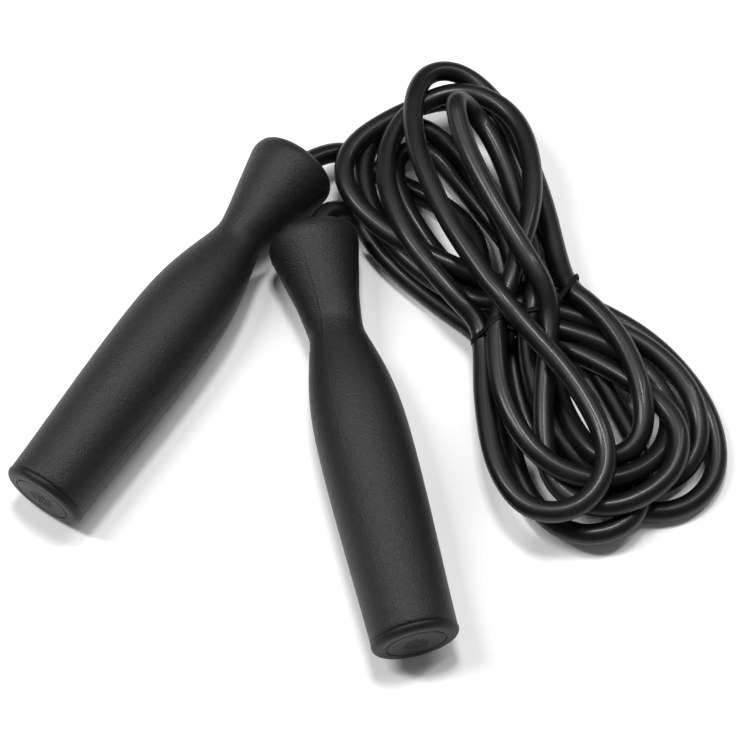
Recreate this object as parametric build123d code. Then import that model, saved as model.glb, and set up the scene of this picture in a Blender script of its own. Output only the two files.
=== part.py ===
from build123d import *
import os
from math import cos, pi, radians, sin, tan

# Jump rope: two waisted plastic handles that spin on ball bearings, and one rope folded into a tied hank.
# Millimetres. +Z is up and Z = 0 is the table that everything lies on. The origin is below the middle of the
# two handles. Each handle is modelled along its own axis by stations, from the cap's face (station CAP_FACE)
# to the mouth (station GRIP_LENGTH), and is then laid in its place.

os.makedirs("parts", exist_ok=True)

# ---- driving dimensions ----
GRIP_LENGTH = 150.0
AXIS_HEIGHT = 15.5
ROPE_DIA = 7.0

# Where each handle lies: butt end, heading of its axis and how far its parting line is rolled over from
# the top (positive towards the right, seen from the butt).
HANDLES = {
    "left": {"butt": (-61.1, -41.7), "heading": 58.1, "roll": 75.0},
    "right": {"butt": (59.4, -89.3), "heading": 103.75, "roll": -25.0},
}

# End cap: a disc on the butt with a spigot inside the grip. Its face has a ring groove and a patch of short
# parallel grooves.
CAP_FACE = 1.0
CAP_END = 3.5
CAP_RADIUS = 14.1
CAP_FRONT_ROUND = 2.1
CAP_BACK_CHAMFER = 0.3
SPIGOT_RADIUS = 12.0
SPIGOT_INNER = 10.4
SPIGOT_LENGTH = 8.0
ENGRAVING_DEPTH = 0.3
GROOVE_OUTER = 9.9
GROOVE_INNER = 9.4
BAR_WIDTH = 0.6
BAR_PITCH = 1.8
BAR_LENGTHS = (4.5, 7.0, 8.0, 7.0, 4.5)

# Outside of the grip: (station, radius).
BODY_PROFILE = [
    (CAP_END, 13.9),
    (12, 14.1),
    (30, 14.7),
    (50, 15.3),
    (66, 15.5),
    (76, 15.35),
    (85, 14.75),
    (95, 13.2),
    (103, 11.3),
    (110, 9.5),
    (116, 8.5),
    (122, 8.0),
]
# The flared mouth is oval at the neck and round at the rim:
# (station, radius at the parting line, radius beside it).
FLARE_SECTIONS = [
    (105, 6.6, 8.5),
    (112, 7.7, 9.4),
    (118, 8.9, 10.1),
    (124, 10.4, 10.9),
    (131, 12.2, 12.4),
    (138, 13.9, 13.9),
    (144, 15.3, 15.3),
]
# The rim rounds over from its widest ring to a narrow edge round the mouth.
RIM_WIDEST = (15.4, 146.4)
RIM_ROUND = (14.75, 148.8)
RIM_EDGE_RADIUS = 13.0
RIM_MOUTH_RADIUS = 12.0
# Inside of the grip: (station, radius), from the butt to the bearing seat.
SPIGOT_BORE_END = 16.0
CAVITY_PROFILE = [
    (SPIGOT_BORE_END, SPIGOT_RADIUS),
    (40, 12.6),
    (66, 13.2),
    (80, 12.9),
    (90, 11.2),
    (100, 8.9),
    (108, 7.0),
    (116, 6.7),
    (122, 7.4),
    (129, 8.2),
    (134, 8.2),
]

# Bearing: 8 mm bore, 19 mm outside, 6 mm wide.
BEARING_BORE = 8.0
BEARING_OD = 19.0
BEARING_WIDTH = 6.0
BALL_DIA = 3.1
BALL_PITCH_DIA = 13.5
BALL_COUNT = 8
INNER_SHOULDER = 5.75
OUTER_SHOULDER = 7.75
BALL_PLAY = 0.05
SHIELD_THICKNESS = 0.3
SHIELD_INSET = 0.2
SHIELD_CLEARANCE = 0.25
CAGE_INNER = 6.1
CAGE_OUTER = 7.4
CAGE_WIDTH = 4.0
CAGE_CUT_LENGTH = 4.0

SEAT_STATION = 134.0
BEARING_FACE = SEAT_STATION + BEARING_WIDTH
RETAINER_THICKNESS = 2.0
RETAINER_OUTER = 10.4
RETAINER_INNER = 6.2
RETAINER_FOOT_INNER = 8.2
RETAINER_FOOT_HEIGHT = 0.3
RETAINER_CHAMFER = 0.8
FLANGE_RADIUS = 5.4
FLANGE_THICKNESS = 1.0
WASHER_RADIUS = 5.6
WASHER_THICKNESS = 1.0
FERRULE_RADIUS = 4.9
FERRULE_LENGTH = 7.0
CRIMP_OFFSETS = (2.2, 4.8)
CRIMP_TOOL_RADIUS = 0.8
CRIMP_DEPTH = 0.4
ROPE_END = SEAT_STATION - WASHER_THICKNESS - FERRULE_LENGTH

# Routes of the rope's two free ends, after the straight stretch inside each handle. The first point is on the
# handle's axis at the mouth, and each route ends inside the hank.
MOUTH_STATION = 148.0
LEAD_ROUTES = {
    "left": [(27.5, 91.0, 12.0), (37.0, 94.5, 8.0)],
    "right": [(28.5, 66.0, 14.5), (38.0, 67.0, 10.5)],
}

# Hank: middle of its waist, heading of its long axis, and sections across it:
# (distance along the axis, left edge, right edge, height). The waist's section is under the tie.
HANK_WAIST = (97.0, 29.0)
HANK_HEADING = 106.0
HANK_SECTIONS = [
    (99.0, -10.0, 4.0, 34.0),
    (92.0, -30.0, 14.0, 42.0),
    (80.0, -44.0, 22.0, 45.0),
    (64.0, -48.0, 26.0, 45.0),
    (46.0, -43.0, 25.0, 42.0),
    (24.0, -37.0, 23.0, 36.0),
    (-24.0, -26.0, 44.0, 28.0),
    (-44.0, -30.5, 52.0, 26.0),
    (-62.0, -29.0, 50.0, 22.0),
    (-76.0, -20.0, 38.0, 17.0),
    (-84.5, -2.0, 16.0, 10.0),
]
TIE_WIDTH = 3.0
TIE_THICKNESS = 0.8
WAIST_SECTION = (-21.5, 21.5, 31.0)


def ring(outer, inner, start, length):
    """Plain tube about the handle's axis."""
    body = Cylinder(outer, length, align=(Align.CENTER, Align.CENTER, Align.MIN))
    hole = Cylinder(inner, length, align=(Align.CENTER, Align.CENTER, Align.MIN))
    return Pos(0, 0, start) * (body - hole)


def turned(profile, start, end):
    """Solid of revolution whose side is a smooth curve through (station, radius) points."""
    points = [(radius, station) for station, radius in profile]
    side = Spline(*points)
    outline = Polyline(points[-1], (0, end), (0, start), points[0])
    return revolve(Plane.XZ * make_face([side, outline]), Axis.Z)


def make_grip():
    """Hollow grip: a body that narrows to the neck, a flared mouth, and a bored inside."""
    body = turned(BODY_PROFILE, BODY_PROFILE[0][0], BODY_PROFILE[-1][0])
    flare = loft([Plane.XY.offset(row[0]) * Ellipse(row[1], row[2]) for row in FLARE_SECTIONS])
    rim_start = FLARE_SECTIONS[-1][0]
    rim_base = (FLARE_SECTIONS[-1][1], rim_start)
    rim_edge = (RIM_EDGE_RADIUS, GRIP_LENGTH)
    rim_side = Spline(rim_base, RIM_WIDEST, RIM_ROUND, rim_edge)
    rim_outline = Polyline(rim_edge, (0, GRIP_LENGTH), (0, rim_start), rim_base)
    rim = revolve(Plane.XZ * make_face([rim_side, rim_outline]), Axis.Z)
    cavity = turned(CAVITY_PROFILE, CAVITY_PROFILE[0][0], CAVITY_PROFILE[-1][0])
    spigot_bore = Cylinder(SPIGOT_RADIUS, SPIGOT_BORE_END, align=(Align.CENTER, Align.CENTER, Align.MIN))
    seat = Pos(0, 0, SEAT_STATION) * Cylinder(
        BEARING_OD / 2, BEARING_WIDTH, align=(Align.CENTER, Align.CENTER, Align.MIN)
    )
    retainer_seat = Pos(0, 0, BEARING_FACE) * Cylinder(
        RETAINER_OUTER, RETAINER_THICKNESS, align=(Align.CENTER, Align.CENTER, Align.MIN)
    )
    recess_start = BEARING_FACE + RETAINER_THICKNESS
    recess_depth = GRIP_LENGTH - recess_start
    recess = Pos(0, 0, recess_start) * Cone(
        RETAINER_OUTER, RIM_MOUTH_RADIUS, recess_depth, align=(Align.CENTER, Align.CENTER, Align.MIN)
    )
    return body + flare + rim - cavity - spigot_bore - seat - retainer_seat - recess


def make_end_cap():
    """Disc with a rounded edge and a hollow spigot that presses into the butt."""
    disc = Cylinder(CAP_RADIUS, CAP_END - CAP_FACE, align=(Align.CENTER, Align.CENTER, Align.MIN))
    front = disc.edges().filter_by(GeomType.CIRCLE).sort_by(Axis.Z)[0]
    disc = fillet(front, CAP_FRONT_ROUND)
    back = disc.edges().filter_by(GeomType.CIRCLE).sort_by(Axis.Z)[-1]
    disc = Pos(0, 0, CAP_FACE) * chamfer(back, CAP_BACK_CHAMFER)
    cap = disc + ring(SPIGOT_RADIUS, SPIGOT_INNER, CAP_END, SPIGOT_LENGTH)
    cuts = [ring(GROOVE_OUTER, GROOVE_INNER, CAP_FACE, ENGRAVING_DEPTH)]
    middle = (len(BAR_LENGTHS) - 1) / 2
    for number, length in enumerate(BAR_LENGTHS):
        bar = Box(BAR_WIDTH, length, ENGRAVING_DEPTH, align=(Align.CENTER, Align.CENTER, Align.MIN))
        cuts.append(Pos((number - middle) * BAR_PITCH, 0, CAP_FACE) * bar)
    return cap - cuts


def torus_groove(pitch_radius, groove_radius):
    """Ring-shaped raceway cutter at the middle of the bearing."""
    return Pos(0, 0, SEAT_STATION + BEARING_WIDTH / 2) * Torus(pitch_radius, groove_radius)


def make_outer_race():
    race = ring(BEARING_OD / 2, OUTER_SHOULDER, SEAT_STATION, BEARING_WIDTH)
    return race - torus_groove(BALL_PITCH_DIA / 2, BALL_DIA / 2 + BALL_PLAY)


def make_inner_race():
    race = ring(INNER_SHOULDER, BEARING_BORE / 2, SEAT_STATION, BEARING_WIDTH)
    return race - torus_groove(BALL_PITCH_DIA / 2, BALL_DIA / 2 + BALL_PLAY)


def make_shields():
    starts = (SEAT_STATION + SHIELD_INSET, BEARING_FACE - SHIELD_INSET - SHIELD_THICKNESS)
    inner = INNER_SHOULDER + SHIELD_CLEARANCE
    return [ring(OUTER_SHOULDER, inner, start, SHIELD_THICKNESS) for start in starts]


def ball_places():
    middle = SEAT_STATION + BEARING_WIDTH / 2
    return [Rot(0, 0, 360 / BALL_COUNT * k) * Pos(BALL_PITCH_DIA / 2, 0, middle) for k in range(BALL_COUNT)]


def make_balls():
    return [place * Sphere(BALL_DIA / 2) for place in ball_places()]


def make_cage():
    cage = ring(CAGE_OUTER, CAGE_INNER, SEAT_STATION + (BEARING_WIDTH - CAGE_WIDTH) / 2, CAGE_WIDTH)
    window = Rot(0, 90, 0) * Cylinder(BALL_DIA / 2 + BALL_PLAY, CAGE_CUT_LENGTH)
    return cage - [place * window for place in ball_places()]


def make_retainer():
    """Snap-in ring that holds the bearing by its outer race and stands clear of the rest."""
    foot = ring(RETAINER_OUTER, RETAINER_FOOT_INNER, BEARING_FACE, RETAINER_FOOT_HEIGHT)
    plate_start = BEARING_FACE + RETAINER_FOOT_HEIGHT
    plate = ring(RETAINER_OUTER, RETAINER_INNER, plate_start, RETAINER_THICKNESS - RETAINER_FOOT_HEIGHT)
    retainer = plate + foot
    lip = retainer.edges().filter_by(GeomType.CIRCLE).group_by(Axis.Z)[-1].sort_by(SortBy.RADIUS)[0]
    return chamfer(lip, RETAINER_CHAMFER)


def make_bush():
    """Flanged sleeve between the rope and the inner race."""
    sleeve = ring(BEARING_BORE / 2, ROPE_DIA / 2, SEAT_STATION, BEARING_WIDTH)
    return sleeve + ring(FLANGE_RADIUS, ROPE_DIA / 2, BEARING_FACE, FLANGE_THICKNESS)


def make_washer():
    return ring(WASHER_RADIUS, ROPE_DIA / 2, SEAT_STATION - WASHER_THICKNESS, WASHER_THICKNESS)


def make_ferrule():
    """Sleeve crimped on the rope's end, with two rolled grooves."""
    sleeve = ring(FERRULE_RADIUS, ROPE_DIA / 2, ROPE_END, FERRULE_LENGTH)
    tool = Torus(FERRULE_RADIUS + CRIMP_DEPTH, CRIMP_TOOL_RADIUS)
    return sleeve - [Pos(0, 0, ROPE_END + offset) * tool for offset in CRIMP_OFFSETS]


def handle_place(side):
    """Location that lays a piece modelled along +Z into this handle's place."""
    butt_x, butt_y = HANDLES[side]["butt"]
    heading = radians(HANDLES[side]["heading"])
    roll = radians(HANDLES[side]["roll"])
    axis = Vector(cos(heading), sin(heading), 0)
    right = Vector(sin(heading), -cos(heading), 0)
    parting = Vector(0, 0, 1) * cos(roll) + right * sin(roll)
    return Location(Plane(origin=(butt_x, butt_y, AXIS_HEIGHT), x_dir=parting, z_dir=axis))


def axis_point(side, station):
    return (handle_place(side) * Pos(0, 0, station)).position


def lead_radii(points):
    """Largest tangent arcs that each corner's two runs allow."""
    radii = []
    for before, corner, after in zip(points, points[1:], points[2:]):
        into = corner - before
        out = after - corner
        half_turn = radians(into.get_angle(out) / 2)
        radii.append(0.45 * min(into.length, out.length) / tan(half_turn))
    return radii


def make_lead(side):
    """Free end of the rope: straight through the bearing, then round into the hank."""
    points = [axis_point(side, ROPE_END), axis_point(side, MOUTH_STATION)]
    points += [Vector(*place) for place in LEAD_ROUTES[side]]
    radii = lead_radii(points)
    path = FilletPolyline(*points, radius=radii)
    start = Plane(origin=path @ 0, z_dir=path % 0)
    lead = sweep(start * Circle(ROPE_DIA / 2), path=path)
    section = pi * ROPE_DIA ** 2 / 4
    print(side, "lead: length", round(path.length, 1), "radii", [round(radius, 1) for radius in radii])
    print("  volume", round(lead.volume), "section x length", round(section * path.length))
    return lead


def hank_plane(distance):
    """Plane across the hank: its X is to the right and its Y is up."""
    heading = radians(HANK_HEADING)
    along = Vector(cos(heading), sin(heading), 0)
    right = Vector(sin(heading), -cos(heading), 0)
    origin = Vector(*HANK_WAIST, 0) + along * distance
    return Plane(origin=origin, x_dir=right, z_dir=right.cross(Vector(0, 0, 1)))


def hank_section(distance, left, right, height, lift=0.0, grow=0.0):
    """Rounded section whose underside is lifted off the table, grown all round."""
    corner = 0.4 * min(height, right - left)
    face = RectangleRounded(right - left + 2 * grow, height + 2 * grow, corner + grow)
    return hank_plane(distance) * Pos((left + right) / 2, height / 2 + lift) * face


def make_hank():
    top = [hank_section(*row) for row in HANK_SECTIONS if row[0] > 0]
    waist = [hank_section(end * TIE_WIDTH / 2, *WAIST_SECTION, lift=TIE_THICKNESS) for end in (1, -1)]
    bottom = [hank_section(*row) for row in HANK_SECTIONS if row[0] < 0]
    return loft(top + waist + bottom, ruled=True)


def make_tie():
    """Closed band pulled tight round the hank's waist."""
    outer = hank_section(0, *WAIST_SECTION, lift=TIE_THICKNESS, grow=TIE_THICKNESS)
    inner = hank_section(0, *WAIST_SECTION, lift=TIE_THICKNESS)
    return extrude(outer - inner, TIE_WIDTH / 2, both=True)


MAKERS = {
    "grip": make_grip,
    "end_cap": make_end_cap,
    "bearing_retainer": make_retainer,
    "bearing_outer_race": make_outer_race,
    "bearing_shields": make_shields,
    "bearing_balls": make_balls,
    "ball_cage": make_cage,
    "bearing_inner_race": make_inner_race,
    "rope_bush": make_bush,
    "stop_washer": make_washer,
    "rope_ferrule": make_ferrule,
}


def write(name, shape):
    if isinstance(shape, list):
        shape = Compound(children=shape)
    shape.label = name
    export_step(shape, "parts/" + name + ".step")


for piece, maker in MAKERS.items():
    for side in HANDLES:
        shape = maker()
        place = handle_place(side)
        placed = [place * solid for solid in shape] if isinstance(shape, list) else place * shape
        write(side + "_" + piece, placed)

for side in HANDLES:
    write("rope_lead_" + side, make_lead(side))
write("rope_hank", make_hank())
write("rope_tie", make_tie())
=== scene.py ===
from math import cos, pi, radians, sin

import bmesh
import bpy
import numpy as np
from mathutils import Matrix, Vector


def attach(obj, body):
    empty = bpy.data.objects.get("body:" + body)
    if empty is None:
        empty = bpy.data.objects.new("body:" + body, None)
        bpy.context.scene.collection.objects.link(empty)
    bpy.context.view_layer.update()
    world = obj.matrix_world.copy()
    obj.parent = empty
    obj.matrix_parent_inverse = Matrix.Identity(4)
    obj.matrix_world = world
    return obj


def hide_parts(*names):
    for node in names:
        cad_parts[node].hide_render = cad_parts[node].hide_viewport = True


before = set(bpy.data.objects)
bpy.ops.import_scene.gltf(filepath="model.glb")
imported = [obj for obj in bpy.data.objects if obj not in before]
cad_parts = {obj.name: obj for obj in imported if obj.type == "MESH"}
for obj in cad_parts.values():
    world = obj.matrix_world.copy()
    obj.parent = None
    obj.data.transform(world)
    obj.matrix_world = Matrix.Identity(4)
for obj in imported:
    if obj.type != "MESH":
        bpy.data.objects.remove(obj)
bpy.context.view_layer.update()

MM = 0.001
scene = bpy.context.scene


# ---- camera ----
CAMERA_TARGET = (0.0458, 0.0117, 0.0)
CAMERA_DISTANCE = 0.6556
CAMERA_ELEVATION = radians(63.91)
CAMERA_ROLL = radians(0.36)
CAMERA_SENSOR = 36
CAMERA_LENS = 92.86
CAMERA_CLIP = (0.01, 20)


def place_camera():
    """Looks down at the middle of the group from in front, as the photograph does."""
    back = Vector((0, -cos(CAMERA_ELEVATION), sin(CAMERA_ELEVATION)))
    level = Vector((1, 0, 0))
    upward = back.cross(level)
    across = cos(CAMERA_ROLL) * level + sin(CAMERA_ROLL) * upward
    up = -sin(CAMERA_ROLL) * level + cos(CAMERA_ROLL) * upward
    turn = Matrix((across, up, back)).transposed().to_4x4()
    data = bpy.data.cameras.new("camera")
    data.sensor_width = CAMERA_SENSOR
    data.lens = CAMERA_LENS
    data.clip_start, data.clip_end = CAMERA_CLIP
    camera = bpy.data.objects.new("camera", data)
    camera.matrix_world = Matrix.Translation(Vector(CAMERA_TARGET) + back * CAMERA_DISTANCE) @ turn
    scene.collection.objects.link(camera)
    scene.camera = camera


# ---- helpers ----
def table(rows, column=1):
    """First column and one other column of a table, as arrays."""
    return np.array([row[0] for row in rows], float), np.array([row[column] for row in rows], float)


def walked(line):
    """Length along a line up to each of its points."""
    steps = np.linalg.norm(np.diff(line, axis=0), axis=1)
    return np.concatenate([[0], np.cumsum(steps)])


def add_object(name, data):
    made = bpy.data.objects.new(name, data)
    scene.collection.objects.link(made)
    return made


def smooth_skin(name, points, faces, sharp=None):
    """Mesh object with its faces turned outwards and smooth, and edges over the angle sharp."""
    data = bpy.data.meshes.new(name)
    data.from_pydata(points.tolist(), [], faces)
    data.update()
    bm = bmesh.new()
    bm.from_mesh(data)
    bmesh.ops.recalc_face_normals(bm, faces=bm.faces)
    for face in bm.faces:
        face.smooth = True
    if sharp:
        for edge in bm.edges:
            if edge.calc_face_angle(0) > sharp:
                edge.smooth = False
    bm.to_mesh(data)
    bm.free()
    return add_object(name, data)


# ---- where things lie ----
# Each handle in the row frame, in millimetres: the middle of its butt, and its heading.
HANDLES = {
    "left": ((-61.1, -41.7), radians(58.1)),
    "right": ((59.4, -89.3), radians(103.75)),
}
AXIS_HEIGHT = 15.5
# The hank's own axes, in millimetres: v to the right of its long axis, u along it from the waist,
# z up.
HANK_WAIST = np.array([97.0, 29.0])
HANK_HEADING = radians(106.0)
HANK_U = np.array([cos(HANK_HEADING), sin(HANK_HEADING)])
HANK_V = np.array([sin(HANK_HEADING), -cos(HANK_HEADING)])


def axis_point(side, station):
    (x, y), heading = HANDLES[side]
    return (x + station * cos(heading), y + station * sin(heading), AXIS_HEIGHT)


def from_hank(points):
    points = np.asarray(points, float)
    flat = HANK_WAIST + points[:, :1] * HANK_V + points[:, 1:2] * HANK_U
    return np.column_stack([flat, points[:, 2]])


def to_hank(points):
    points = np.asarray(points, float)
    flat = points[:, :2] - HANK_WAIST
    return np.column_stack([flat @ HANK_V, flat @ HANK_U, points[:, 2]])


# ---- rope ----
ROPE_DIA = 7.0
ROPE_RADIUS = ROPE_DIA / 2

# The rope's turns, in order from the right handle. Each is one lobe of the hank's figure of eight:
# end (1 is the upper end), lean to the right in degrees, reach, half widths to the left and right,
# how late it widens, heights (left side, left shoulder, tip, right shoulder, right side), side
# entered first (1 is the left), squareness (1 is a plain drop, less is squarer), degrees of turn
# from the tip to each shoulder.
LOBES = [
    (-1, 2, 82.8, 20.5, 18, 2.2, (4, 3.5, 7.5, 9, 8), 1, 1, 55),
    (1, 8, 90, 61.3, 1.5, 0.8, (15, 14, 9, 6, 5), -1, 1.1, 55),
    (-1, 25.5, 86, 30, 25.8, 0.2, (3.5, 3.5, 3.5, 3.5, 4), -1, 1, 55),
    (1, -16, 92.5, 24.5, 17.5, 0.8, (12, 11, 8, 7, 7), -1, 0.85, 55),
    (-1, 26, 76, 24, 26.3, 0.3, (7, 8, 10.5, 12, 12), -1, 1, 55),
    (1, -1, 78, 6, 9, 1.4, (36, 37, 32, 24, 20), -1, 0.8, 20),
    (-1, 11, 78, 25, 24, 2.0, (11, 10, 11, 17, 15), 1, 1, 55),
    (1, -12.5, 80.5, 16.5, 7, 0.8, (4, 4, 4, 4, 5), 1, 0.6, 55),
    (-1, 12, 62, 10.5, 16.5, 0.7, (12, 11, 13, 18, 17), 1, 0.75, 55),
    (1, -1, 98.3, 18.3, 16.7, 1.1, (27, 28, 27, 12, 10), -1, 1, 55),
    (-1, -12, 77.5, 14.7, 22.5, 1.4, (17, 16, 19, 23, 25), -1, 1, 55),
    (1, -4, 90.5, 28, 26.5, 0.8, (16, 15, 17, 20, 20), 1, 1, 55),
    (-1, 11, 69.5, 24, 29, 0.8, (14, 12, 12, 17, 15), 1, 1, 55),
]
# The steep turn, whose tip stands on edge.
STEEP_LOBE = 5
LOBE_POINTS = 8
# Degrees of turn from the waist to the lobe's sides.
SIDE_TURN = 75
# How fast a lobe leaves the place of its crossing of the waist.
SLOT_FADE = 1.5
# Where each crossing of the waist lies, in the same order: (v, z).
SLOTS = [
    (-12.5, 4), (14.5, 5), (7, 10.7), (-3, 4), (-6.5, 10.5), (3.5, 17.5), (6, 25),
    (4.5, 4), (10.5, 4), (13, 15), (-10, 28.5), (-15, 12), (-11.5, 19.5), (-9, 4),
]

# The rope's free ends, from each handle into the hank, in the row frame. Two points inside the
# handle's mouth come before them.
ROPE_END = 126.0
MOUTH_STATION = 148.0
LEAD_ROUTES = {
    "left": [(27.5, 92.5, 12.0), (37.0, 96.0, 8.0)],
    "right": [(28.0, 68.6, 14.5), (39.5, 70.3, 8.0)],
}
# How many of those points stay put at each end of the rope.
HELD_POINTS = 4
# The ends' way on inside the hank, to and from the waist: (v, u, z).
RIGHT_END = [(-41.5, 45, 4.5), (-37.1, 32.6, 3.6), (-25.9, 14.6, 3.6)]
LEFT_END = [(-9.5, 20, 4), (-6.5, 38, 3.6), (-13, 53, 3.6), (-24, 64, 3.6), (-32, 72, 4)]

# How the turns settle: rounds, samples between control points, and the stretch of rope over which
# samples don't push each other.
SETTLE_ROUNDS = 120
SETTLE_SAMPLES = 6
OWN_STRETCH = 3.2 * ROPE_DIA
# Shares made up in one round, along v, u and z: of an overlap, and of the way back to the start.
PUSH = np.array([0.075, 0.075, 0.175])
HOLD = np.array([0.03, 0.03, 0.01])
# Shares of a kink in height, and of the depth below the floor.
LEVELLING = 0.15
FLOOR_PUSH = 0.6
# Millimetres that the rope sinks in one round.
SAG = 0.005

TUBE_RESOLUTION = 10
TUBE_BEVEL_RESOLUTION = 7


def drop_shape(turn, lateness):
    """Sideways shape of a lobe round one turn: 0 at the waist and the tip, +-1 at the widest."""
    around = np.linspace(0.01, pi, 400)
    widest = (np.sin(around) * np.sin(around / 2) ** lateness).max()
    return np.sin(turn) * np.sin(turn / 2) ** lateness / widest


def lobe_points(lobe, slot_in, slot_out):
    """Control points of one lobe, from one crossing of the waist to the next."""
    end, lean, reach, left, right, lateness, heights, way, square, shoulder = lobe
    turn = np.arange(1, LOBE_POINTS + 1) / (LOBE_POINTS + 1) * 2 * pi
    along = reach * (1 - np.cos(turn)) / 2
    going_out = turn < pi
    on_left = going_out == (way > 0)
    shape = np.abs(drop_shape(turn, lateness)) ** square
    across = np.where(on_left, -left, right) * shape
    slot = np.where(going_out, slot_in[0], slot_out[0]) * (1 - along / reach) ** SLOT_FADE
    lean = radians(lean)
    v = along * sin(lean) + across * cos(lean) + slot
    u = end * (along * cos(lean) - across * sin(lean))
    heights = heights if way > 0 else heights[::-1]
    stations = [0, SIDE_TURN, 180 - shoulder, 180, 180 + shoulder, 360 - SIDE_TURN, 360]
    z = np.interp(np.degrees(turn), stations, [slot_in[1], *heights, slot_out[1]])
    return np.column_stack([v, u, z])


def rope_route():
    """All control points of the rope in the hank's axes, and which of them stay put."""
    ends = {}
    for side in HANDLES:
        inside = [axis_point(side, ROPE_END), axis_point(side, MOUTH_STATION)]
        ends[side] = to_hank(inside + LEAD_ROUTES[side])
    parts = [ends["right"], np.array(RIGHT_END, float)]
    for number, lobe in enumerate(LOBES):
        parts.append(np.array([(SLOTS[number][0], 0, SLOTS[number][1])], float))
        parts.append(lobe_points(lobe, SLOTS[number], SLOTS[number + 1]))
        if number == STEEP_LOBE:
            tip = sum(len(part) for part in parts) - LOBE_POINTS // 2
    parts.append(np.array([(SLOTS[-1][0], 0, SLOTS[-1][1])], float))
    parts += [np.array(LEFT_END, float), ends["left"][::-1]]
    route = np.concatenate(parts)
    held = np.zeros(len(route), bool)
    held[:HELD_POINTS] = True
    held[-HELD_POINTS:] = True
    held[tip - 1:tip + 1] = True
    crossing = np.concatenate([np.full(len(part), len(part) == 1) for part in parts])
    eased_route = route.copy()
    for k in np.flatnonzero(crossing):
        eased_route[k, :2] = (route[k - 1, :2] + 2 * route[k, :2] + route[k + 1, :2]) / 4
    return eased_route, held


def spline_weights(count, per_span):
    """Weights of the control points at samples of a clamped quadratic B-spline."""
    knots = np.concatenate([[0, 0], np.arange(count - 1), [count - 2, count - 2]]).astype(float)
    at = np.linspace(0, count - 2 - 1e-9, (count - 2) * per_span + 1)[:, None]
    weights = ((at >= knots[:-1]) & (at < knots[1:])).astype(float)
    for degree in (1, 2):
        gap = knots[degree:] - knots[:-degree]
        gap = np.where(gap == 0, 1, gap)
        rising = (at - knots[:-degree - 1]) / gap[:-1]
        falling = (knots[degree + 1:] - at) / gap[1:]
        weights = rising * weights[:, :-1] + falling * weights[:, 1:]
    return weights


def settle(route, held):
    """Lets the turns push each other apart until they lie on and beside each other."""
    weights = spline_weights(len(route), SETTLE_SAMPLES)
    share = (weights ** 2).sum(0)[:, None]
    free = ~held[:, None]
    rest = route.copy()
    length = walked(weights @ route)
    near = np.abs(length[:, None] - length[None, :]) < OWN_STRETCH
    for _ in range(SETTLE_ROUNDS):
        line = weights @ route
        apart = line[:, None, :] - line[None, :, :]
        distance = np.sqrt((apart ** 2).sum(-1)) + 1e-9
        overlap = np.where(near, 0, np.maximum(ROPE_DIA - distance, 0))
        push = ((overlap / distance)[..., None] * apart).sum(1) * PUSH
        step = (weights.T @ push) / share
        sunk = np.maximum(ROPE_RADIUS - line[:, 2], 0)
        step[:, 2] += (weights.T @ sunk) / share[:, 0] * FLOOR_PUSH
        step += (rest - route) * HOLD
        step[:, 2] -= SAG
        route = route + step * free
        height = route[:, 2]
        level = (height[:-2] + 2 * height[1:-1] + height[2:]) / 4
        route[1:-1, 2] += (level - height[1:-1]) * free[1:-1, 0] * LEVELLING
        route[:, 2] = np.where(held, route[:, 2], np.maximum(route[:, 2], ROPE_RADIUS))
    return route


def rope_points():
    """The rope's control points, in metres in the row frame."""
    return from_hank(settle(*rope_route())) * MM


def smooth_line(points):
    """The rope's NURBS curve: one open spline with these control points."""
    data = bpy.data.curves.new("rope_line", "CURVE")
    data.dimensions = "3D"
    spline = data.splines.new("NURBS")
    spline.points.add(len(points) - 1)
    for point, place in zip(spline.points, points):
        point.co = (*place, 1)
    spline.order_u = 3
    spline.use_endpoint_u = True
    spline.resolution_u = TUBE_RESOLUTION
    data.resolution_u = TUBE_RESOLUTION
    return bpy.data.objects.new("rope_line", data)


def make_rope(points):
    """Round tube that follows the NURBS curve, and the path it follows."""
    curve = smooth_line(points)
    bare = bpy.data.meshes.new_from_object(curve)
    path = [tuple(vertex.co) for vertex in bare.vertices]
    curve.data.bevel_depth = ROPE_RADIUS * MM
    curve.data.bevel_resolution = TUBE_BEVEL_RESOLUTION
    curve.data.use_fill_caps = True
    data = bpy.data.meshes.new_from_object(curve)
    data.name = "jump_rope"
    data.shade_smooth()
    bpy.data.meshes.remove(bare)
    bpy.data.curves.remove(curve.data)
    rope = add_object("jump_rope", data)
    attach(rope, "rope")
    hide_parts("rope_lead_left", "rope_lead_right", "rope_hank")
    return rope, np.array(path)


# ---- grips ----
# Millimetres along the handle's axis from the butt's end.
BUTT = 3.5
NECK_START = 105.0
BODY_END = 122.0
RIM_START = 144.0
GRIP_END = 150.0
# Outside of the grip: (station, radius).
BODY = [
    (3.5, 13.9), (12, 14.1), (30, 14.7), (50, 15.3), (66, 15.5), (76, 15.35), (85, 14.75),
    (95, 13.2), (103, 11.3), (110, 9.5), (116, 8.5), (122, 8.0),
]
# The flared mouth: (station, radius at the parting line, radius beside it).
FLARE = [
    (105, 6.6, 8.5), (112, 7.7, 9.4), (118, 8.9, 10.1), (124, 10.4, 10.9), (131, 12.2, 12.4),
    (138, 13.9, 13.9), (144, 15.3, 15.3),
]
RIM = [
    (144, 15.3), (145.4, 15.42), (146.6, 15.38), (147.8, 15.1), (148.7, 14.7), (149.4, 14.1),
    (149.8, 13.5), (150, 13),
]
# Inside, from the mouth back to the butt. A station given twice is a step.
INSIDE = [
    (150, 12), (146, 11.2), (142, 10.4), (140, 10.4), (140, 9.5), (134, 9.5), (134, 8.2),
    (129, 8.2), (122, 7.4), (116, 6.7), (108, 7.0), (100, 8.9), (90, 11.2), (80, 12.9),
    (66, 13.2), (40, 12.6), (16, 12.0), (3.5, 12.0),
]
# Small bevel at the seam beside the end cap.
BUTT_BEVEL = 0.5
BUTT_BEVEL_LENGTH = 0.75
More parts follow.
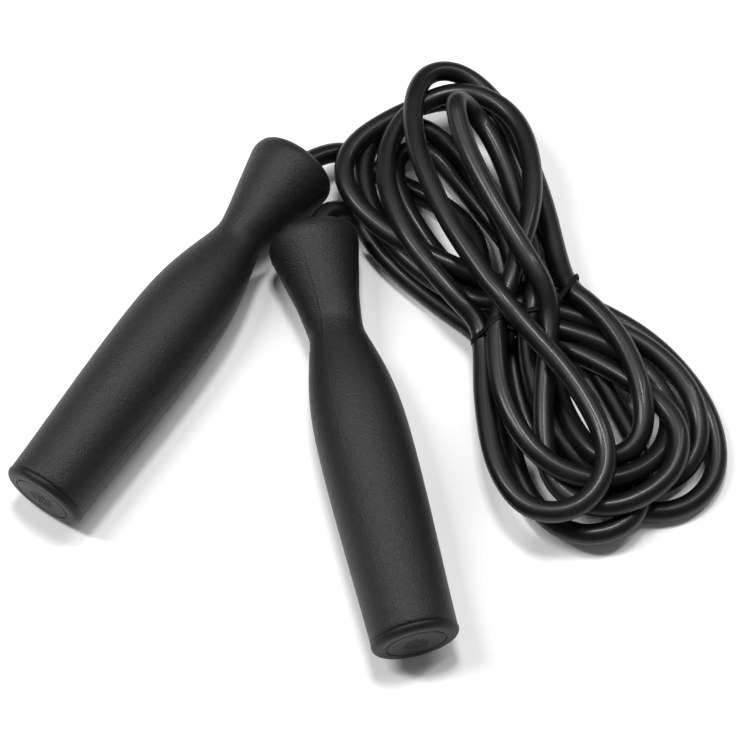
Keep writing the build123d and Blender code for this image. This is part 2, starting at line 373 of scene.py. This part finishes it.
# The flare starts under the body's surface this far before the neck. Beyond its own range each
# surface goes in by so much for each millimetre.
FLARE_LEAD = 6
FLARE_TAPER = 0.18
BODY_TAPER = 2.0
CREASE_SOFTNESS = 0.7
# Rows of vertices along the outside: (from, to, how many).
OUTSIDE_ROWS = [
    (BUTT, BUTT + BUTT_BEVEL_LENGTH, 3),
    (BUTT + BUTT_BEVEL_LENGTH, 98, 63),
    (98, 124, 53),
    (124, RIM_START, 20),
]
# Columns of vertices round it, in degrees: everywhere, beside each moulding line, and the least
# gap.
COLUMN_STEP = 3.6
LINE_COLUMNS = [0.3, 0.6, 0.95, 1.35, 1.9, 2.6]
COLUMN_GAP = 0.12
SHARP_EDGE = radians(34)
# Which way the mould's parting line faces: degrees from the top, to the right seen from the butt.
ROLL = {"left": 75.0, "right": -25.0}
# Moulding lines: (degrees from the parting line, where it wanders: (station, degrees), how high it
# stands: (station, millimetres), groove beside it).
MOULD_LINES = {
    "left": [
        (-12,
         [(20, -21), (61, -21), (75, -23), (96, -21), (104, -8), (133, -4), (150, 3)],
         [(20, 0.0), (60, 0.05), (110, 0.09), (150, 0.14)], 0.0),
        (6,
         [(10, -1), (26, -1), (62, 5), (74, 6), (88, 14), (100, 16)],
         [(4, 0.04), (30, 0.12), (85, 0.12), (97, 0.0)], 0.14),
        (180, [(0, 180)], [(0, 0.08)], 0.0),
    ],
    "right": [
        (0,
         [(20, -6), (90, -6), (110, -5), (119, 0), (126, 4), (150, 5)],
         [(10, 0.03), (90, 0.04), (106, 0.08), (116, 0.15), (130, 0.1), (140, 0.03),
          (150, 0.02)], 0.1),
        (180, [(0, 180)], [(0, 0.08)], 0.0),
    ],
}
LINE_WIDTH = 0.24
GROOVE_DEPTH = 4
GROOVE_ASIDE = 0.6
GROOVE_WIDTH = 0.35
# What is left of the moulding gate on a grip's rim: station, degrees from the parting line,
# height, width.
GATE_NUBS = {"right": (149.2, -7.0, 0.9, 0.7)}


def eased(at, rows, column=1):
    """Smooth curve through the rows' values."""
    x, y = table(rows, column)
    slope = np.gradient(y, x)
    k = np.clip(np.searchsorted(x, at) - 1, 0, len(x) - 2)
    gap = x[k + 1] - x[k]
    t = np.clip((at - x[k]) / gap, 0, 1)
    first = (1 + 2 * t) * (1 - t) ** 2 * y[k] + t * (1 - t) ** 2 * gap * slope[k]
    return first + t ** 2 * (3 - 2 * t) * y[k + 1] + t ** 2 * (t - 1) * gap * slope[k + 1]


def grip_radius(station, turn):
    """Radius of the outside at one station, at each angle from the parting line."""
    body = float(eased(station, BODY)) if station < BODY_END else BODY[-1][1]
    if station < NECK_START - FLARE_LEAD:
        bevel = BUTT_BEVEL * max(0, 1 - (station - BUTT) / BUTT_BEVEL_LENGTH)
        return np.full(len(turn), body - bevel)
    if station > RIM_START:
        return np.full(len(turn), np.interp(station, *table(RIM)))
    at = max(station, NECK_START)
    narrow = float(eased(at, FLARE, 1)) - FLARE_TAPER * (at - station)
    wide = float(eased(at, FLARE, 2)) - FLARE_TAPER * (at - station)
    flare = narrow * wide / np.hypot(wide * np.cos(turn), narrow * np.sin(turn))
    if station > BODY_END:
        body = body - BODY_TAPER * (station - BODY_END)
    near = np.maximum(CREASE_SOFTNESS - np.abs(flare - body), 0) / CREASE_SOFTNESS
    return np.maximum(flare, body) + near ** 2 * CREASE_SOFTNESS / 4


def column_angles(lines):
    """Degrees from the parting line of each column of vertices, close at the moulding lines."""
    beside = np.array([-away for away in LINE_COLUMNS[::-1]] + [0] + LINE_COLUMNS)
    angles = [np.arange(-180, 180, COLUMN_STEP)] + [line[0] + beside for line in lines]
    wrapped = (np.concatenate(angles) + 180) % 360 - 180
    ordered = np.unique(np.round(wrapped, 3))
    return ordered[np.concatenate([[True], np.diff(ordered) > COLUMN_GAP])]


def mould_relief(station, turn, radius, lines):
    """How far the moulding lines stand out at one station."""
    relief = np.zeros(len(turn))
    for _, path, height, groove in lines:
        away = (turn - np.interp(station, *table(path)) + 180) % 360 - 180
        away = np.radians(away) * radius
        stands = np.interp(station, *table(height))
        relief += stands * np.exp(-((away / LINE_WIDTH) ** 2))
        dip = np.exp(-(((away - GROOVE_ASIDE) / GROOVE_WIDTH) ** 2))
        relief -= stands * groove * GROOVE_DEPTH * dip
    return relief


def gate_nub(side, station, turn, radius):
    """How far the rest of the moulding gate stands out at one station."""
    at, angle, height, width = GATE_NUBS[side]
    aside = np.radians(turn - angle) * radius
    return height * np.exp(-((aside / width) ** 2 + ((station - at) / width) ** 2) ** 2)


def grip_mesh(side):
    """One closed skin, outside and in, from the butt to the mouth and back."""
    (x, y), heading = HANDLES[side]
    roll = radians(ROLL[side])
    axis = np.array([cos(heading), sin(heading), 0])
    right = np.array([sin(heading), -cos(heading), 0])
    parting = np.array([0, 0, 1]) * cos(roll) + right * sin(roll)
    beside = np.cross(axis, parting)
    lines = MOULD_LINES[side]
    columns = column_angles(lines)
    bases = [-180, *(line[0] for line in lines[:-1]), 180]
    outside = [np.linspace(*ends, count, endpoint=False) for *ends, count in OUTSIDE_ROWS]
    rows = []
    for station in np.concatenate([*outside, table(RIM)[0]]):
        places = [-180, *(np.interp(station, *table(line[1])) for line in lines[:-1]), 180]
        turn = np.interp(columns, bases, places)
        radius = grip_radius(station, np.radians(turn))
        fade = min(1, (GRIP_END - station) / (GRIP_END - RIM_START))
        radius = radius + mould_relief(station, turn, radius, lines) * fade
        if side in GATE_NUBS:
            radius = radius + gate_nub(side, station, turn, radius)
        rows.append((station, np.radians(turn), radius))
    flat = np.radians(columns)
    rows += [(station, flat, np.full(len(flat), radius)) for station, radius in INSIDE]
    points = []
    for station, turn, radius in rows:
        around = np.outer(np.cos(turn), parting) + np.outer(np.sin(turn), beside)
        centre = np.array([x, y, AXIS_HEIGHT]) + station * axis
        points.append(centre + radius[:, None] * around)
    count = len(columns)
    faces = []
    for row in range(len(rows)):
        here = row * count
        there = (row + 1) % len(rows) * count
        for k in range(count):
            after = (k + 1) % count
            faces.append((here + k, there + k, there + after, here + after))
    return np.concatenate(points) * MM, faces


def make_grip(side):
    grip = smooth_skin(side + "_grip_skin", *grip_mesh(side), sharp=SHARP_EDGE)
    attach(grip, side + "_handle")
    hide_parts(side + "_grip")
    return grip


# ---- tie ----
# Where the tie crosses the hank: (v, u) over the top. Below the hank it runs straight.
TIE_OVER = [(-22, -7), (-16, -6), (-12, -4.2), (6, -4.2), (9.5, -2.5), (19, 6), (23, 8)]
TIE_BELOW = [TIE_OVER[0], TIE_OVER[-1]]
# Height at which it has swung all the way from the one to the other.
TIE_SWING_HEIGHT = 14
TIE_WIDTH = 1.6
TIE_THICKNESS = 0.4
TIE_WIRE = 0.2
# Strands that cross the waist higher than this lie loose on top of the tie.
TIE_HIGHEST = 21.5
# Points of a strand this near the tie's line, along the hank, are under it.
TIE_REACH = 1.2
# Steps: along the strands in millimetres, round the hull of them, and along the tie.
STRAND_STEP = 0.5
HULL_STEPS = 720
TIE_STEPS = 180
# Rounds of smoothing: round the strands, and along the hank.
RING_ROUNDS = 4
SWING_ROUNDS = 6
# Millimetres by which the tie's middle line and its surface clear the floor.
RING_CLEARANCE = 0.02
TIE_CLEARANCE = 0.01
# The band's section: (across, as a share of half the width, thickness as a share).
BAND_SECTION = [
    (-1, 0.35), (-0.93, 0.8), (-0.7, 1), (-0.42, 1), (-0.22, 1.25), (0, 1.25 + TIE_WIRE),
    (0.22, 1.25), (0.42, 1), (0.7, 1), (0.93, 0.8), (1, 0.35),
]


def smoothed(ring, rounds):
    """Each point of a closed ring drawn towards its neighbours."""
    for _ in range(rounds):
        ring = (np.roll(ring, 1, 0) + 2 * ring + np.roll(ring, -1, 0)) / 4
    return ring


def resampled(line, at):
    """Points of a line at these lengths along it."""
    length = walked(line)
    return np.column_stack([np.interp(at, length, column) for column in line.T])


def unit(vectors):
    return vectors / np.linalg.norm(vectors, axis=1)[:, None]


def tie_line(path):
    """Closed path round the strands at the waist, and the outward direction at each point."""
    line = to_hank(path / MM)
    line = resampled(line, np.arange(0, walked(line)[-1], STRAND_STEP))
    under = np.abs(line[:, 1] - np.interp(line[:, 0], *table(TIE_OVER))) < TIE_REACH
    strands = line[under & (line[:, 2] < TIE_HIGHEST)][:, [0, 2]]
    hull = []
    for turn in np.linspace(0, 2 * pi, HULL_STEPS, endpoint=False):
        way = np.array([cos(turn), sin(turn)])
        hull.append(strands[(strands @ way).argmax()] + way * (ROPE_RADIUS + TIE_THICKNESS / 2))
    hull = np.array(hull + hull[:1])
    ring = resampled(hull, np.linspace(0, walked(hull)[-1], TIE_STEPS, endpoint=False))
    ring = smoothed(ring, RING_ROUNDS)
    ring[:, 1] = np.maximum(ring[:, 1], TIE_THICKNESS / 2 + RING_CLEARANCE)
    edge = np.roll(ring, -1, 0) - np.roll(ring, 1, 0)
    out = unit(np.column_stack([edge[:, 1], -edge[:, 0]]))
    over = np.interp(ring[:, 0], *table(TIE_OVER))
    below = np.interp(ring[:, 0], *table(TIE_BELOW))
    share = np.clip(ring[:, 1] / TIE_SWING_HEIGHT, 0, 1)
    along = smoothed(over * share + below * (1 - share), SWING_ROUNDS)
    centre = np.column_stack([ring[:, 0], along, ring[:, 1]])
    return centre, np.column_stack([out[:, 0], 0 * along, out[:, 1]])


def tie_section():
    """Outline of the band: thin and flat, thicker over the wire in its middle."""
    half = TIE_THICKNESS / 2
    upper = [(across * TIE_WIDTH / 2, thick * half) for across, thick in BAND_SECTION]
    lower = [(across, -min(thick, half)) for across, thick in reversed(upper)]
    return upper + lower


def make_tie(path):
    centre, out = tie_line(path)
    heading = unit(np.roll(centre, -1, 0) - np.roll(centre, 1, 0))
    side = unit(np.cross(heading, out))
    section = tie_section()
    count = len(section)
    points = []
    faces = []
    for k in range(len(centre)):
        here = k * count
        there = (k + 1) % len(centre) * count
        for j, (across, thick) in enumerate(section):
            points.append(centre[k] + side[k] * across + out[k] * thick)
            after = (j + 1) % count
            faces.append((here + j, here + after, there + after, there + j))
    points = np.array(points)
    points[:, 2] = np.maximum(points[:, 2], TIE_CLEARANCE)
    tie = smooth_skin("hank_tie", from_hank(points) * MM, faces)
    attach(tie, "rope")
    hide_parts("rope_tie")
    return tie


# ---- materials ----
def new_material(name, colour, roughness, metallic=0.0, specular=0.5, coat=0.0):
    material = bpy.data.materials.new(name)
    material.use_nodes = True
    shader = material.node_tree.nodes["Principled BSDF"]
    shader.inputs["Base Color"].default_value = (*colour, 1)
    shader.inputs["Roughness"].default_value = roughness
    shader.inputs["Metallic"].default_value = metallic
    shader.inputs["Specular IOR Level"].default_value = specular
    shader.inputs["Coat Weight"].default_value = coat
    shader.inputs["Coat Roughness"].default_value = 0.1
    return material, material.node_tree, shader


def noise(tree, scale, detail):
    """Noise texture in object space."""
    where = tree.nodes.new("ShaderNodeTexCoord")
    node = tree.nodes.new("ShaderNodeTexNoise")
    tree.links.new(where.outputs["Object"], node.inputs["Vector"])
    node.inputs["Scale"].default_value = scale
    node.inputs["Detail"].default_value = detail
    return node.outputs["Fac"]


def cells(tree, scale):
    """Distance from the middle of each cell of a Voronoi texture in object space."""
    where = tree.nodes.new("ShaderNodeTexCoord")
    node = tree.nodes.new("ShaderNodeTexVoronoi")
    tree.links.new(where.outputs["Object"], node.inputs["Vector"])
    node.inputs["Scale"].default_value = scale
    node.inputs["Detail"].default_value = 4
    return node.outputs["Distance"]


def remap(tree, source, low, high, to_low, to_high):
    node = tree.nodes.new("ShaderNodeMapRange")
    node.inputs["From Min"].default_value = low
    node.inputs["From Max"].default_value = high
    node.inputs["To Min"].default_value = to_low
    node.inputs["To Max"].default_value = to_high
    tree.links.new(source, node.inputs["Value"])
    return node.outputs["Result"]


def vary_roughness(tree, shader, source, to_low, to_high):
    rough = remap(tree, source, 0.3, 0.7, to_low, to_high)
    tree.links.new(rough, shader.inputs["Roughness"])


def vary_colour(tree, shader, source, low, high, first, second):
    """Base colour that wanders between two colours as the source goes from low to high."""
    mix = tree.nodes.new("ShaderNodeMix")
    mix.data_type = "RGBA"
    mix.inputs["A"].default_value = (*first, 1)
    mix.inputs["B"].default_value = (*second, 1)
    tree.links.new(remap(tree, source, low, high, 0, 1), mix.inputs["Factor"])
    tree.links.new(mix.outputs["Result"], shader.inputs["Base Color"])


def bumps(tree, shader, heights):
    """Stacks bump nodes: (height output, distance in metres, strength)."""
    normal = None
    for height, distance, strength in heights:
        bump = tree.nodes.new("ShaderNodeBump")
        bump.inputs["Distance"].default_value = distance
        bump.inputs["Strength"].default_value = strength
        tree.links.new(height, bump.inputs["Height"])
        if normal:
            tree.links.new(normal, bump.inputs["Normal"])
        normal = bump.outputs["Normal"]
    tree.links.new(normal, shader.inputs["Normal"])


def rope_material():
    """Black PVC with a soft sheen, a thin glossy skin and faint handling marks."""
    material, tree, shader = new_material(
        "rope_pvc", (0.003, 0.003, 0.0032), 0.42, specular=0.28, coat=0.1
    )
    cloud = noise(tree, 60, 3)
    dust = remap(tree, cells(tree, 420), 0.0, 0.12, 1, 0)
    vary_colour(
        tree, shader, cloud, 0.35, 0.65, (0.0025, 0.0025, 0.0027), (0.005, 0.005, 0.0053)
    )
    vary_roughness(tree, shader, cloud, 0.36, 0.48)
    bumps(tree, shader, [
        (cloud, 0.0004, 0.2),
        (noise(tree, 900, 3), 0.00004, 0.3),
        (dust, 0.00003, 0.4),
    ])
    return material


def grip_material():
    """Charcoal plastic with a fine pebbled moulding texture."""
    material, tree, shader = new_material(
        "grip_plastic", (0.006, 0.006, 0.0062), 0.46, specular=0.34
    )
    grain = noise(tree, 1900, 4)
    vary_colour(
        tree, shader, grain, 0.35, 0.72, (0.0035, 0.0035, 0.0036), (0.0125, 0.012, 0.0115)
    )
    vary_roughness(tree, shader, grain, 0.38, 0.56)
    bumps(tree, shader, [
        (noise(tree, 45, 4), 0.0006, 0.12),
        (cells(tree, 1500), 0.00022, 0.5),
        (grain, 0.00022, 0.6),
    ])
    return material


def cap_material():
    """Satin black plastic with a fine grain."""
    material, tree, shader = new_material(
        "cap_plastic", (0.008, 0.008, 0.0083), 0.5, specular=0.24
    )
    cloud = noise(tree, 120, 3)
    vary_colour(
        tree, shader, cloud, 0.35, 0.65, (0.007, 0.007, 0.0073), (0.011, 0.011, 0.0113)
    )
    vary_roughness(tree, shader, cloud, 0.44, 0.56)
    bumps(tree, shader, [(noise(tree, 2400, 3), 0.00008, 0.4)])
    return material


def plain_plastic(name, colour, roughness, specular=0.5):
    """Moulded plastic with a fine grain and slightly darker clouds."""
    material, tree, shader = new_material(name, colour, roughness, specular=specular)
    cloud = noise(tree, 150, 3)
    darker = tuple(0.82 * c for c in colour)
    vary_colour(tree, shader, cloud, 0.3, 0.7, darker, colour)
    vary_roughness(tree, shader, cloud, roughness - 0.06, roughness + 0.06)
    bumps(tree, shader, [(noise(tree, 2000, 3), 0.00005, 0.4)])
    return material


def ground_metal(name, colour, roughness):
    """Metal with fine grinding marks and cloudy stains."""
    material, tree, shader = new_material(name, colour, roughness, metallic=1.0)
    marks = noise(tree, 1400, 6)
    darker = tuple(0.72 * c for c in colour)
    vary_colour(tree, shader, noise(tree, 260, 4), 0.3, 0.7, darker, colour)
    vary_roughness(tree, shader, marks, roughness * 0.6, roughness * 1.5)
    bumps(tree, shader, [(marks, 0.00002, 0.4)])
    return material


def paint(obj, material):
    obj.data.materials.clear()
    obj.data.materials.append(material)


# ---- floor and lights ----
FLOOR_HALF = 3
FLOOR_COLOUR = (0.95, 0.95, 0.95)
WORLD_STRENGTH = 0.16
LIGHT_TARGET = (0.05, 0, 0)
# Area lights: (name, place, width, length, power).
LIGHTS = [
    ("overhead", (0.03, 0.25, 1.15), 0.2, 0.2, 6.4),
    ("left", (-0.60, 0.10, 0.95), 0.14, 0.6, 8.3),
    ("right", (0.50, 0.30, 1.00), 0.07, 1.0, 4.5),
]


def make_floor():
    corners = [(-1, -1), (1, -1), (1, 1), (-1, 1)]
    data = bpy.data.meshes.new("floor")
    data.from_pydata([(x * FLOOR_HALF, y * FLOOR_HALF, 0) for x, y in corners], [], [(0, 1, 2, 3)])
    floor = add_object("floor", data)
    paint(floor, new_material("floor", FLOOR_COLOUR, 0.7, specular=0.1)[0])


def area_light(name, place, width, length, power):
    data = bpy.data.lights.new(name, "AREA")
    data.shape = "RECTANGLE"
    data.size = width
    data.size_y = length
    data.energy = power
    light = add_object(name, data)
    light.location = place
    aim = Vector(LIGHT_TARGET) - Vector(place)
    light.rotation_euler = aim.to_track_quat("-Z", "Y").to_euler()


def light_scene():
    world = bpy.data.worlds.new("studio")
    world.use_nodes = True
    background = world.node_tree.nodes["Background"]
    background.inputs["Color"].default_value = (1, 1, 1, 1)
    background.inputs["Strength"].default_value = WORLD_STRENGTH
    scene.world = world
    for light in LIGHTS:
        area_light(*light)
    scene.view_settings.view_transform = "Standard"


# ---- the scene ----
place_camera()
rope, rope_path = make_rope(rope_points())
paint(rope, rope_material())
NODE_MATERIALS = {
    "bearing_retainer": plain_plastic("retainer_plastic", (0.02, 0.02, 0.021), 0.4),
    "bearing_outer_race": ground_metal("bearing_steel", (0.62, 0.62, 0.64), 0.18),
    "bearing_inner_race": ground_metal("bearing_steel_inner", (0.60, 0.60, 0.62), 0.2),
    "bearing_shields": ground_metal("shield_steel", (0.50, 0.51, 0.53), 0.32),
    "bearing_balls": ground_metal("ball_steel", (0.75, 0.75, 0.77), 0.06),
    "ball_cage": plain_plastic("cage_nylon", (0.45, 0.40, 0.28), 0.45),
    "rope_bush": plain_plastic("bush_nylon", (0.58, 0.57, 0.53), 0.42),
    "stop_washer": ground_metal("washer_steel", (0.55, 0.55, 0.56), 0.3),
    "rope_ferrule": ground_metal("ferrule_aluminium", (0.70, 0.71, 0.72), 0.35),
    "end_cap": cap_material(),
}
grip_plastic = grip_material()
for side in HANDLES:
    for piece, material in NODE_MATERIALS.items():
        paint(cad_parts[side + "_" + piece], material)
    paint(make_grip(side), grip_plastic)
tie_plastic = plain_plastic("tie_plastic", (0.002, 0.002, 0.0021), 0.6, specular=0.15)
paint(make_tie(rope_path), tie_plastic)
make_floor()
light_scene()
